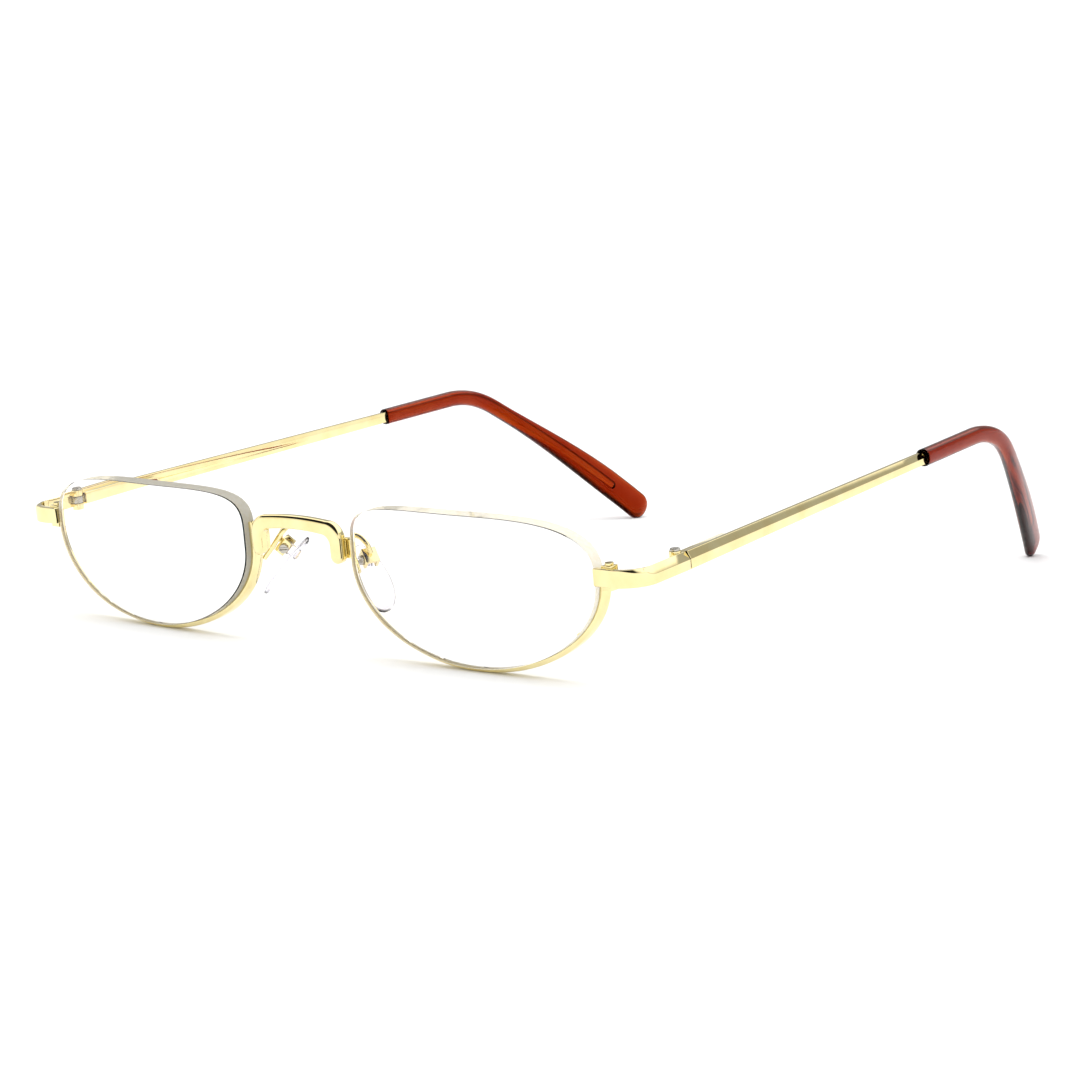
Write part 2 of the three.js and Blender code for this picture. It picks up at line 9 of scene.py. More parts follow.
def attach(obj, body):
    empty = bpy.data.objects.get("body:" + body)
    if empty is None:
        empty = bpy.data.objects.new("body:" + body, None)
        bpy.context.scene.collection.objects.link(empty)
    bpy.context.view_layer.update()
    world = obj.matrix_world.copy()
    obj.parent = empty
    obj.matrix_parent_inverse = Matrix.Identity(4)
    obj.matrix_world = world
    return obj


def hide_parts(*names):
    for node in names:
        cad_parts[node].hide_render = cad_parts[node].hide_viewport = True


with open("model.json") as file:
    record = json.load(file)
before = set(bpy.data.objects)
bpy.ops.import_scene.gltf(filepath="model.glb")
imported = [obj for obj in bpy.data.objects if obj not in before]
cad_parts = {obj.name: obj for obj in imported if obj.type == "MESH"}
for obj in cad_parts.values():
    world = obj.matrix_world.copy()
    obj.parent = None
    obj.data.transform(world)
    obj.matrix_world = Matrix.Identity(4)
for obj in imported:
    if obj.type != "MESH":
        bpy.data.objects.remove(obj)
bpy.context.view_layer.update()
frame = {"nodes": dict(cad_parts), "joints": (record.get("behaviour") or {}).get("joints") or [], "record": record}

# ---- The axes the glasses are built on ------------------------------------------------------
# The front stands square to its own axes, which lean a little forward because the glasses rest
# on their rims and tips. Each temple has axes of its own, through its hinge pin. All sizes
# below are in millimetres along those axes, and the wearer's right side mirrors the left.
MM = 0.001
BRIDGE_FACE = -2.55
BRIDGE_FACE_LEVEL = 5.35
face = next(m for m in frame["record"]["mounts"] if m["name"] == "bridge_front")
ACROSS = Vector((1, 0, 0))
BACK = -Vector(face["axis"]).normalized()
UP = ACROSS.cross(BACK)
MIDDLE = Vector(face["pos_m"]) - (BACK * BRIDGE_FACE + UP * BRIDGE_FACE_LEVEL) * MM

joints = {joint["name"]: joint for joint in frame["joints"]}
PIN = Vector(joints["left_temple_fold"]["pos_m"])
PIN_UP = Vector(joints["left_temple_fold"]["axis"]).normalized()
ALONG = Vector(joints["left_slider_travel"]["axis"]).normalized()
OUTWARD = ALONG.cross(PIN_UP).normalized()
SIDES = ("left", "right")


def on_side(point, side):
    return Vector((point.x if side == "left" else -point.x, point.y, point.z))


def on_front(point, side="left"):
    x, y, z = point
    return on_side(MIDDLE + (ACROSS * x + BACK * y + UP * z) * MM, side)


def on_temple(point, side="left"):
    x, y, z = point
    return on_side(PIN + (OUTWARD * x + ALONG * y + PIN_UP * z) * MM, side)


def smooth(start, end, at):
    share = min(max((at - start) / (end - start), 0), 1)
    return share * share * (3 - 2 * share)


# A closed skin over rings of points, with flat ends.
def skin(rings):
    made = bmesh.new()
    loops = [[made.verts.new(point) for point in ring] for ring in rings]
    count = len(loops[0])
    for near, far in zip(loops, loops[1:]):
        for i in range(count):
            j = (i + 1) % count
            made.faces.new((near[i], near[j], far[j], far[i]))
    made.faces.new(loops[0])
    made.faces.new(reversed(loops[-1]))
    return made


# An outline with each corner rounded. Corners are (x, y, radius), and each gets the same number
# of points.
def rounded(corners, steps=4):
    points = []
    for i, (x, y, radius) in enumerate(corners):
        corner = Vector((x, y))
        before = (Vector(corners[i - 1][:2]) - corner).normalized()
        after = (Vector(corners[(i + 1) % len(corners)][:2]) - corner).normalized()
        half = math.acos(max(-1, min(1, before.dot(after)))) / 2
        reach = radius / math.tan(half)
        centre = corner + (before + after).normalized() * radius / math.sin(half)
        start = corner + before * reach - centre
        end = corner + after * reach - centre
        for k in range(steps + 1):
            part = k / steps
            mix = start.slerp(end, part).normalized() if radius > 0 else Vector((0, 0))
            points.append(tuple(centre + mix * radius))
    return points


def shade(mesh, crease=32):
    mesh.shade_smooth()
    mesh.set_sharp_from_angle(angle=math.radians(crease))


# Makes the finished piece: outward faces, its finish, the body it rides on and what it stands for.
def add_piece(name, made, material, body, replaced=(), crease=32):
    bmesh.ops.remove_doubles(made, verts=made.verts, dist=1e-7)
    bmesh.ops.recalc_face_normals(made, faces=made.faces)
    mesh = bpy.data.meshes.new(name)
    made.to_mesh(mesh)
    made.free()
    shade(mesh, crease)
    mesh.materials.append(material)
    piece = bpy.data.objects.new(name, mesh)
    bpy.context.scene.collection.objects.link(piece)
    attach(piece, body)
    if replaced:
        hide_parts(*replaced)
    return piece


# ---- Polished gold plate --------------------------------------------------------------------
# Pale gold electroplate over polished nickel silver, the finish of all frame metal. It mirrors
# the studio sharply, with a faint orange peel from polishing and slightly duller, warmer patches.
def linear(value):
    return value / 12.92 if value <= 0.04045 else ((value + 0.055) / 1.055) ** 2.4


def colour(code, alpha=1.0):
    return tuple(linear(int(code[i:i + 2], 16) / 255) for i in (1, 3, 5)) + (alpha,)


def add_node(tree, kind, values=None, links=None, **settings):
    made = tree.nodes.new(kind)
    for key, value in settings.items():
        setattr(made, key, value)
    for key, value in (values or {}).items():
        made.inputs[key].default_value = value
    for key, source in (links or {}).items():
        tree.links.new(source, made.inputs[key])
    return made


def new_material(name):
    material = bpy.data.materials.new(name)
    material.use_nodes = True
    tree = material.node_tree
    shader = tree.nodes["Principled BSDF"]
    place = tree.nodes.new("ShaderNodeTexCoord")
    return material, tree, shader, place.outputs["Object"]


def ramp(tree, source, stops):
    made = add_node(tree, "ShaderNodeValToRGB", links={"Fac": source})
    points = made.color_ramp.elements
    while len(points) < len(stops):
        points.new(1.0)
    for point, (at, shade_of) in zip(points, stops):
        point.position = at
        point.color = shade_of
    return made.outputs["Color"]


def level(value):
    return (value, value, value, 1.0)


def metal(name, light, dark, rough_low, rough_high, peel):
    material, tree, shader, place = new_material(name)
    patches = add_node(tree, "ShaderNodeTexNoise", {"Scale": 260.0, "Detail": 3.0}, {"Vector": place})
    fine = add_node(tree, "ShaderNodeTexNoise", {"Scale": 2600.0, "Detail": 2.0}, {"Vector": place})
    tint = ramp(tree, patches.outputs["Fac"], ((0.35, colour(light)), (0.72, colour(dark))))
    rough = ramp(tree, fine.outputs["Fac"], ((0.3, level(rough_low)), (0.75, level(rough_high))))
    bump = add_node(
        tree, "ShaderNodeBump", {"Strength": peel, "Distance": 0.00002}, {"Height": fine.outputs["Fac"]}
    )
    tree.links.new(tint, shader.inputs["Base Color"])
    tree.links.new(rough, shader.inputs["Roughness"])
    tree.links.new(bump.outputs["Normal"], shader.inputs["Normal"])
    shader.inputs["Metallic"].default_value = 1.0
    return material


GOLD = metal("polished_gold_plate", "#F6E9B4", "#EFDCA0", 0.035, 0.075, 0.05)

# ---- Turned steel ---------------------------------------------------------------------------
# Screws and the sliders in the spring boxes are turned from stainless steel and left bright,
# greyer than the plate and a little rougher from the tool marks.
STEEL = metal("turned_stainless_steel", "#C9C5BC", "#A7A297", 0.16, 0.3, 0.12)

# ---- Rims -----------------------------------------------------------------------------------
# Each rim is a nickel silver wire of rounded rectangular section with a groove rolled inside it,
# bent to the lower half of the half-moon lens and open along the top.
LENS_X = 36
FRONT_SET = -0.5
FACE_FORM = math.radians(2.7)
EYE_HALF = 25
EYE_DROP = 15.9
LENS_RISE = 9.4
NOSE_CORNER = 5
TEMPLE_CORNER = 3.1
FRONT_RADIUS = 150
BACK_RADIUS = 260
RIM_WIDE = 0.8
RIM_DEEP = 2.0
RIM_BACK = 0.8
GROOVE = 0.35
FIT = 0.05
RIM_FROM = math.radians(-10)
RIM_TO = math.radians(185.3)


def outline(angle, inset):
    below = math.sin(angle) > 0
    along = abs(math.cos(angle)) / (EYE_HALF - inset)
    across = abs(math.sin(angle)) / (EYE_DROP - inset if below else LENS_RISE)
    corner = NOSE_CORNER if math.cos(angle) > 0 else TEMPLE_CORNER
    power = 2 if below else corner
    ray = (along**power + across**power) ** (-1 / power)
    return Vector((-ray * math.cos(angle), -ray * math.sin(angle)))


def sag(x, z):
    mean = (1 / FRONT_RADIUS + 1 / BACK_RADIUS) / 4
    return (x * x + z * z - EYE_HALF * EYE_HALF / 2) * mean


def on_eye(x, y, z, side):
    turned_x = x * math.cos(FACE_FORM) - y * math.sin(FACE_FORM)
    turned_y = x * math.sin(FACE_FORM) + y * math.cos(FACE_FORM)
    return on_front((LENS_X + turned_x, FRONT_SET + turned_y, z), side)


def outward_of(angle, inset):
    ahead = outline(angle + 0.004, inset)
    behind = outline(angle - 0.004, inset)
    along = (ahead - behind).normalized()
    out = Vector((-along.y, along.x))
    return out if out.dot(outline(angle, inset)) > 0 else -out


def rim_rings(side):
    half = RIM_DEEP / 2
    out = RIM_WIDE / 2
    mouth = 0.4
    edge = 0.06
    section = rounded(
        [
            (-half, -out, edge), (-mouth, -out, edge), (0, GROOVE - out, 0.05), (mouth, -out, edge),
            (half, -out, edge), (half, out, 0.22), (-half, out, 0.22),
        ]
    )
    steps = 150
    broken_end = 0.86
    trim = math.radians(0.25)
    rings = []
    for i in range(-1, steps + 2):
        inside = min(max(i, 0), steps)
        angle = RIM_FROM + (RIM_TO - RIM_FROM) * inside / steps
        scale = broken_end if i in (-1, steps + 1) else 1.0
        angle += trim * (i == 0) - trim * (i == steps)
        middle = outline(angle, out)
        away = outward_of(angle, out)
        ring = []
        for depth, reach in section:
            spot = middle + away * (reach * scale)
            back = RIM_BACK + sag(spot.x, spot.y)
            ring.append(on_eye(spot.x, depth * scale + back, spot.y, side))
        rings.append(ring)
    return rings


for side in SIDES:
    add_piece(
        f"{side}_rim_wire", skin(rim_rings(side)), GOLD, "front", (f"{side}_rim",)
    )

# ---- Lenses ---------------------------------------------------------------------------------
# Clear half-moon lenses, convex in front and hollow behind, with a bevel ground to sit in the
# rim's groove and a bare polished edge along the top, its two arrises broken. A thin coating
# gives their reflections a faint lilac.
LENS_THICK = 3.4


def lens_solid(side):
    inset = RIM_WIDE + FIT
    centre = sag(0, 0)
    around = 220
    rings = 12
    arris = 0.16
    ridge = GROOVE - 3 * FIT

    def front_at(r):
        return centre - LENS_THICK / 2 + r * r / (2 * FRONT_RADIUS)

    def back_at(r):
        return centre + LENS_THICK / 2 + r * r / (2 * BACK_RADIUS)

    def loop(share, depth_of, stand=0.0):
        points = []
        for k in range(around):
            angle = 2 * math.pi * k / around
            wrapped = angle - 2 * math.pi if angle > math.radians(250) else angle
            begun = smooth(RIM_FROM, RIM_FROM + 0.05, wrapped)
            held = begun * (1 - smooth(RIM_TO - 0.05, RIM_TO, wrapped))
            spot = outline(angle, inset) * share
            if stand:
                spot = spot + outward_of(angle, inset) * (stand * held)
            points.append(on_eye(spot.x, depth_of(spot), spot.y, side))
        return points

    made = bmesh.new()
    edge_share = 1 - arris / EYE_HALF
    shares = [edge_share * math.sin(math.pi / 2 * i / rings) for i in range(1, rings + 1)]
    loops = [loop(share, lambda p: front_at(p.length)) for share in shares]
    loops.append(loop(1, lambda p: front_at(p.length) + arris))
    loops.append(loop(1, lambda p: sag(p.x, p.y) + RIM_BACK - 0.3))
    loops.append(loop(1, lambda p: sag(p.x, p.y) + RIM_BACK, ridge))
    loops.append(loop(1, lambda p: sag(p.x, p.y) + RIM_BACK + 0.3))
    loops.append(loop(1, lambda p: back_at(p.length) - arris))
    loops += [loop(share, lambda p: back_at(p.length)) for share in reversed(shares)]
    rows = [[made.verts.new(point) for point in points] for points in loops]
    for level_at, (near, far) in enumerate(zip(rows, rows[1:])):
        for i in range(around):
            j = (i + 1) % around
            wall = made.faces.new((near[i], near[j], far[j], far[i]))
            wall.material_index = 1 if rings <= level_at < rings + 4 else 0
    for row, depth in ((rows[0], front_at(0)), (rows[-1], back_at(0))):
        pole = made.verts.new(on_eye(0, depth, 0, side))
        for i in range(around):
            made.faces.new((row[i], row[(i + 1) % around], pole))
    return made


def lens_material():
    material, tree, shader, place = new_material("coated_optical_lens")
    smears = add_node(tree, "ShaderNodeTexNoise", {"Scale": 55.0, "Detail": 4.0}, {"Vector": place})
    rough = ramp(tree, smears.outputs["Fac"], ((0.45, level(0.0)), (0.8, level(0.012))))
    tree.links.new(rough, shader.inputs["Roughness"])
    shader.inputs["Base Color"].default_value = colour("#FFFEFB")
    shader.inputs["IOR"].default_value = 1.5
    shader.inputs["Transmission Weight"].default_value = 1.0
    shader.inputs["Thin Film Thickness"].default_value = 130.0
    shader.inputs["Thin Film IOR"].default_value = 1.38
    return material


# The edge is ground, not polished, and reads as a soft cream band through the lens.
def ground_edge():
    material, tree, shader, place = new_material("ground_lens_edge")
    marks = add_node(tree, "ShaderNodeTexNoise", {"Scale": 1800.0, "Detail": 3.0}, {"Vector": place})
    tint = ramp(tree, marks.outputs["Fac"], ((0.3, colour("#FFFCF2")), (0.75, colour("#FBF3DC"))))
    tree.links.new(tint, shader.inputs["Base Color"])
    shader.inputs["Roughness"].default_value = 0.45
    scatter = add_node(tree, "ShaderNodeBsdfTranslucent", links={"Color": tint})
    clear = add_node(tree, "ShaderNodeBsdfTransparent", links={"Color": tint})
    milky = add_node(tree, "ShaderNodeMixShader", {"Fac": 0.5})
    tree.links.new(shader.outputs["BSDF"], milky.inputs[1])
    tree.links.new(scatter.outputs["BSDF"], milky.inputs[2])
    frosted = add_node(tree, "ShaderNodeMixShader", {"Fac": 0.4})
    tree.links.new(milky.outputs["Shader"], frosted.inputs[1])
    tree.links.new(clear.outputs["BSDF"], frosted.inputs[2])
    tree.links.new(frosted.outputs["Shader"], tree.nodes["Material Output"].inputs["Surface"])
    return material


LENS = lens_material()
GROUND = ground_edge()
for side in SIDES:
    lens = add_piece(
        f"{side}_lens_clear", lens_solid(side), LENS, "front", (f"{side}_lens",), crease=25
    )
    lens.data.materials.append(GROUND)

# ---- Bridge ---------------------------------------------------------------------------------
# One bar of nickel silver bent to a low arch with two short legs. Its front is flat, its edges
# are rounded, and a foot behind each leg is brazed to the nose side of the rim.
BRIDGE_HALF = 10.1
BRIDGE_TOP = 6.1
BRIDGE_BASE = -0.75
LEG_WIDE = 2.4
BAR_HIGH = 2.2
BRIDGE_DEEP = 1.8
OUTER_BEND = 3.2
INNER_BEND = 1.8
ARCH = 0.35


def bridge_stations():
    foot = LEG_WIDE / 2
    low = BRIDGE_BASE + foot
    inner_x = BRIDGE_HALF - LEG_WIDE
    under = BRIDGE_TOP - BAR_HIGH
    pairs = []
    for i in range(6):
        part = i / 6
        bottom = low + (under - INNER_BEND - low) * part
        top = low + (BRIDGE_TOP - OUTER_BEND - low) * part
        pairs.append((Vector((-BRIDGE_HALF, top)), Vector((-inner_x, bottom))))
    for i in range(17):
        turn = math.pi - math.pi / 2 * i / 16
        bend = Vector((math.cos(turn), math.sin(turn)))
        outer = Vector((OUTER_BEND - BRIDGE_HALF, BRIDGE_TOP - OUTER_BEND)) + bend * OUTER_BEND
        inner = Vector((INNER_BEND - inner_x, under - INNER_BEND)) + bend * INNER_BEND
        pairs.append((outer, inner))
    reach_out = BRIDGE_HALF - OUTER_BEND
    reach_in = inner_x - INNER_BEND
    for i in range(1, 20):
        across = -1 + 2 * i / 20
        lift = ARCH * (1 - across * across)
        pairs.append(
            (Vector((across * reach_out, BRIDGE_TOP + lift)), Vector((across * reach_in, under + lift)))
        )
    mirrored = [(Vector((-o.x, o.y)), Vector((-n.x, n.y))) for o, n in reversed(pairs[:23])]
    return pairs + mirrored


def bridge_solid():
    foot = LEG_WIDE / 2
    middle = BRIDGE_FACE + BRIDGE_DEEP / 2
    stations = bridge_stations()

    def ring(outer, inner, narrow=1.0, drop=0.0, crown=0.0):
        wide = (outer - inner).length
        half = wide / 2
        deep = BRIDGE_DEEP / 2
        section = rounded(
            [(-half, -deep, 0.66), (half, -deep, 0.3), (half, deep, 0.6), (-half, deep, 0.6)],
            steps=6,
        )
        centre = (outer + inner) / 2
        away = (outer - inner).normalized()
        points = []
        for s, depth in section:
            spot = centre + away * (-s * narrow)
            points.append(on_front((spot.x, middle + depth * (1 - crown), spot.y - drop)))
        return points

    rings = [ring(outer, inner) for outer, inner in stations]
    ends = []
    for k in range(1, 9):
        turn = math.pi / 2 * k / 8
        narrow = max(math.cos(turn), 0.12)
        crown = 0.45 * (1 - math.cos(turn))
        ends.append((narrow, foot * math.sin(turn), crown))
    first = [ring(*stations[0], narrow, drop, crown) for narrow, drop, crown in reversed(ends)]
    last = [ring(*stations[-1], narrow, drop, crown) for narrow, drop, crown in ends]
    return skin(first + rings + last)


add_piece("bridge_bar", bridge_solid(), GOLD, "front", ("bridge",))


# Brazed feet: a rounded block between leg and rim.
def rounded_block(low, high, radius, place, steps=3):
    made = bmesh.new()
    bmesh.ops.create_cube(made, size=1)
    for vert in made.verts:
        vert.co = Vector([low[i] if vert.co[i] < 0 else high[i] for i in range(3)])
    bmesh.ops.bevel(
        made, geom=made.edges[:], offset=radius, segments=steps, profile=0.5, affect="EDGES"
    )
    for vert in made.verts:
        vert.co = place(vert.co)
    return made


for side in SIDES:
    rear = BRIDGE_FACE + BRIDGE_DEEP
    inner = BRIDGE_HALF - LEG_WIDE + 0.5
    block = rounded_block(
        (inner, rear - 0.1, -0.1), (LENS_X - EYE_HALF + 0.06, rear + 0.9, 3.3), 0.26,
        lambda p, side=side: on_front(p, side),
    )
    add_piece(f"{side}_bridge_foot", block, GOLD, "front")

# ---- Endpieces ------------------------------------------------------------------------------
# A flat strip at each outer corner, bent back to meet the temple. The upper outer edge of its
# side leg is milled to a slope that runs out in the bend.
PLATE_EDGE = 60.4
PLATE_FRONT = -0.5
PLATE_THICK = 1.1
PLATE_HIGH = 2.75
PLATE_LEVEL = 1.3
BEND_RADIUS = 5
CHAMFER = 0.65
FACET = 0.95
SLOPE_FROM = 0.2
SEAM_Y = 13.75
SEAM_X = 67.95
LEAN = math.radians(4.1)


def endpiece_solid(side):
    half = PLATE_HIGH / 2
    bend_y = PLATE_FRONT + BEND_RADIUS
    leg = (SEAM_Y - bend_y - BEND_RADIUS * math.sin(LEAN)) / math.cos(LEAN)
    bend_x = SEAM_X - BEND_RADIUS * math.cos(LEAN) + leg * math.sin(LEAN)
    rise = (half - SLOPE_FROM) / FACET
    turns = [-math.pi / 2 + (LEAN + math.pi / 2) * i / 40 for i in range(41)]
    stations = []
    for x in (PLATE_EDGE, PLATE_EDGE + 0.12, PLATE_EDGE + 1, bend_x - 0.5):
        stations.append((Vector((x, PLATE_FRONT)), Vector((0, -1))))
    for turn in turns:
        out = Vector((math.cos(turn), math.sin(turn)))
        stations.append((Vector((bend_x, bend_y)) + out * BEND_RADIUS, out))
    out = Vector((math.cos(LEAN), math.sin(LEAN)))
    corner = Vector((bend_x, bend_y)) + out * BEND_RADIUS
    backward = Vector((-math.sin(LEAN), math.cos(LEAN)))
    for along in (leg * 0.3, leg * 0.6, leg - 0.08, leg):
        stations.append((corner + backward * along, out))
    rings = []
    for i, (spot, away) in enumerate(stations):
        drawn_in = max(out.dot(corner - spot), 0)
        facing = max(out.dot(away), 0.2)
        slope = min(max((FACET - drawn_in) / facing, 0.03), PLATE_THICK - 0.12)
        start = min(SLOPE_FROM + drawn_in * rise, half - 0.05)
        turn = math.degrees(math.atan2(away.y, away.x))
        worn = smooth(-75, -30, turn) * (1 - smooth(-26, -8, turn))
        slope = max(slope, 0.03 + 0.6 * worn)
        start = min(start, half - 0.05 - 0.5 * worn)
        edge = 0.1
        soft = min(edge + 0.5 * worn, 0.4 * slope, 0.4 * (half - start))
        section = rounded(
            [
                (0, -half, edge), (0, start, soft), (-slope, half, soft), (-PLATE_THICK, half, edge),
                (-PLATE_THICK, -half, edge),
            ],
            steps=3,
        )
        shrink = 0.94 if i in (0, len(stations) - 1) else 1.0
        ring = []
        for depth, height in section:
            middle = -PLATE_THICK / 2
            depth = middle + (depth - middle) * shrink
            flat = spot + away * depth
            ring.append(on_front((flat.x, flat.y, PLATE_LEVEL + height * shrink), side))
        rings.append(ring)
    return skin(rings)


for side in SIDES:
    add_piece(
        f"{side}_endpiece_strip", endpiece_solid(side), GOLD, "front",
        (f"{side}_endpiece",), crease=24,
    )

# ---- Machined blocks ------------------------------------------------------------------------
# Rim locks, pad boxes, hinge leaves, spring boxes and sliders are milled or stamped blocks. Each
# keeps its exact shape and gets the broken edges of a barrelled part.
MACHINED = (
    ("rim_lock_upper", "front", GOLD, "gold_metal", 0.16),
    ("rim_lock_lower", "front", GOLD, "gold_metal", 0.16),
    ("pad_box", "front", GOLD, "gold_metal", 0.22),
    ("hinge_leaf", "front", GOLD, "gold_metal", 0.09),
    ("spring_box", "temple", GOLD, "gold_metal", 0.16),
    ("spring_slider", "slider", STEEL, "steel", 0.05),
    ("slider_stop", "slider", STEEL, "steel", 0.04),
)


def broken_edges(node, width):
    made = bmesh.new()
    made.from_mesh(frame["nodes"][node].data)
    bmesh.ops.remove_doubles(made, verts=made.verts, dist=2e-6)
    bmesh.ops.dissolve_limit(
        made, angle_limit=math.radians(1), verts=made.verts, edges=made.edges, use_dissolve_boundaries=False
    )
    plain = bpy.data.meshes.new(node)
    made.to_mesh(plain)
    made.free()
    holder = bpy.data.objects.new(node, plain)
    bpy.context.scene.collection.objects.link(holder)
    bevel = holder.modifiers.new("broken_edges", "BEVEL")
    bevel.width = width * MM
    bevel.segments = 3
    bevel.limit_method = "ANGLE"
    bevel.angle_limit = math.radians(40)
    bevel.use_clamp_overlap = True
    graph = bpy.context.evaluated_depsgraph_get()
    result = bpy.data.meshes.new_from_object(holder.evaluated_get(graph))
    bpy.data.objects.remove(holder)
    finished = bmesh.new()
    finished.from_mesh(result)
    return finished


for side in SIDES:
    for word, body, material, slot, width in MACHINED:
        rides_on = body if body == "front" else f"{side}_{body}"
        add_piece(
            f"{side}_{word}_edged", broken_edges(f"{side}_{word}", width), material, rides_on,
            (f"{side}_{word}",),
        )

# ---- Screws ---------------------------------------------------------------------------------
# Small slotted screws: one closes each rim lock, one is each hinge's pin, one holds each nose
# pad. They are turned, with a rounded head and a sawn slot.
def screw_tree():
    tree = bpy.data.node_groups.new("slotted_screw", "GeometryNodeTree")
    tree.interface.new_socket("Geometry", in_out="INPUT", socket_type="NodeSocketGeometry")
    for word in ("Head Radius", "Head Height", "Slot Width", "Shank Radius", "Shank Length"):
        tree.interface.new_socket(word, in_out="INPUT", socket_type="NodeSocketFloat")
    tree.interface.new_socket("Finish", in_out="INPUT", socket_type="NodeSocketMaterial")
    tree.interface.new_socket("Geometry", in_out="OUTPUT", socket_type="NodeSocketGeometry")
    given = tree.nodes.new("NodeGroupInput").outputs

    def math_node(operation, first, second):
        made = tree.nodes.new("ShaderNodeMath")
        made.operation = operation
        for place, value in enumerate((first, second)):
            if isinstance(value, (int, float)):
                made.inputs[place].default_value = value
            else:
                tree.links.new(value, made.inputs[place])
        return made.outputs[0]

    def offset(z):
        return add_node(tree, "ShaderNodeCombineXYZ", links={"Z": z}).outputs[0]

    head = add_node(
        tree, "GeometryNodeMeshCylinder", {"Vertices": 40, "Fill Segments": 4},
        {"Radius": given["Head Radius"], "Depth": given["Head Height"]},
    )
    head_up = add_node(
        tree, "GeometryNodeTransform",
        links={
            "Geometry": head.outputs["Mesh"],
            "Translation": offset(math_node("MULTIPLY", given["Head Height"], 0.5)),
        },
    )
    shank = add_node(
        tree, "GeometryNodeMeshCylinder", {"Vertices": 32},
        {"Radius": given["Shank Radius"], "Depth": given["Shank Length"]},
    )
    shank_down = add_node(
        tree, "GeometryNodeTransform",
        links={
            "Geometry": shank.outputs["Mesh"],
            "Translation": offset(
                math_node("SUBTRACT", math_node("MULTIPLY", given["Head Height"], 0.5),
                          math_node("MULTIPLY", given["Shank Length"], 0.5))
            ),
        },
    )
    whole = add_node(tree, "GeometryNodeMeshBoolean", operation="UNION", solver="MANIFOLD")
    tree.links.new(head_up.outputs[0], whole.inputs["Mesh 2"])
    tree.links.new(shank_down.outputs[0], whole.inputs["Mesh 2"])
    size = add_node(
        tree, "ShaderNodeCombineXYZ",
        links={
            "X": math_node("MULTIPLY", given["Head Radius"], 3.0),
            "Y": given["Slot Width"],
            "Z": given["Head Height"],
        },
    )
    saw = add_node(tree, "GeometryNodeMeshCube", links={"Size": size.outputs[0]})
    saw_up = add_node(
        tree, "GeometryNodeTransform",
        links={"Geometry": saw.outputs["Mesh"], "Translation": offset(given["Head Height"])},
    )
    slotted = add_node(tree, "GeometryNodeMeshBoolean", operation="DIFFERENCE", solver="MANIFOLD")
    tree.links.new(whole.outputs["Mesh"], slotted.inputs["Mesh 1"])
    tree.links.new(saw_up.outputs[0], slotted.inputs["Mesh 2"])
    real = add_node(tree, "GeometryNodeRealizeInstances", links={"Geometry": slotted.outputs["Mesh"]})
    finish = add_node(
        tree, "GeometryNodeSetMaterial",
        links={"Geometry": real.outputs[0], "Material": given["Finish"]},
    )
    out = tree.nodes.new("NodeGroupOutput")
    tree.links.new(finish.outputs[0], out.inputs[0])
    return tree


# Runs a tree with its named inputs on a mesh and gives back the plain mesh it makes.
def grown(tree, values, mesh=None):
    start = mesh or bpy.data.meshes.new("start")
    holder = bpy.data.objects.new("start", start)
    bpy.context.scene.collection.objects.link(holder)
    modifier = holder.modifiers.new("shape", "NODES")
    modifier.node_group = tree
    for item in tree.interface.items_tree:
        if item.in_out == "INPUT" and item.name in values:
            modifier[item.identifier] = values[item.name]
    graph = bpy.context.evaluated_depsgraph_get()
    result = bpy.data.meshes.new_from_object(holder.evaluated_get(graph))
    holder.modifiers.remove(modifier)
    bpy.data.objects.remove(holder)
    made = bmesh.new()
    made.from_mesh(result)
    return made


SCREW = screw_tree()


# A screw with its head's underside at a point, its head towards one direction and its slot
# along another.
def add_screw(name, at, towards, slot_along, sizes, material, body, node):
    radius, height, slot_wide, shank, length = (value * MM for value in sizes)
    values = {
        "Head Radius": radius, "Head Height": height, "Slot Width": slot_wide,
        "Shank Radius": shank, "Shank Length": length, "Finish": material,
    }
    made = grown(SCREW, values)
    rims = [
        edge for edge in made.edges
        if len(edge.link_faces) == 2 and edge.calc_face_angle(0) > math.radians(60)
        and all(vert.co.z > height * 0.9 for vert in edge.verts)
    ]
    bmesh.ops.bevel(made, geom=rims, offset=radius * 0.16, segments=3, profile=0.6, affect="EDGES")
    z = towards.normalized()
    x = (slot_along - z * slot_along.dot(z)).normalized()
    y = z.cross(x)
    turn = Matrix((x, y, z)).transposed().to_4x4()
    turn.translation = at
    bmesh.ops.transform(made, matrix=turn, verts=made.verts)
    add_piece(name, made, material, body, (node,))


LOCK_X = 62
LOCK_Y = 1.65
LOCK_TOP = 2.9
LOCK_LOW = -0.9
EYE_HIGH = 1.1
KNUCKLE_HIGH = 1
BARREL_HALF = EYE_HIGH / 2 + 0.1 + KNUCKLE_HIGH
for side in SIDES:
    lock_at = on_front((LOCK_X, LOCK_Y, LOCK_TOP + FIT), side)
    add_screw(
        f"{side}_rim_lock_screw_slotted", lock_at, UP, Vector((0.8, 0.6, 0)),
        (0.7, 0.36, 0.2, 0.4, LOCK_TOP - LOCK_LOW + 0.1), GOLD, "front",
        f"{side}_rim_lock_screw",
    )
    pin_top = on_temple((0, 0, BARREL_HALF + FIT), side)
    pin_up = on_temple((0, 0, 1), side) - on_temple((0, 0, 0), side)
    add_screw(
        f"{side}_hinge_screw_slotted", pin_top, pin_up, Vector((0.3, 0.95, 0)),
        (0.8, 0.34, 0.22, 0.42, 2 * BARREL_HALF + 0.2), STEEL, f"{side}_hinge_pin",
        f"{side}_hinge_screw",
    )

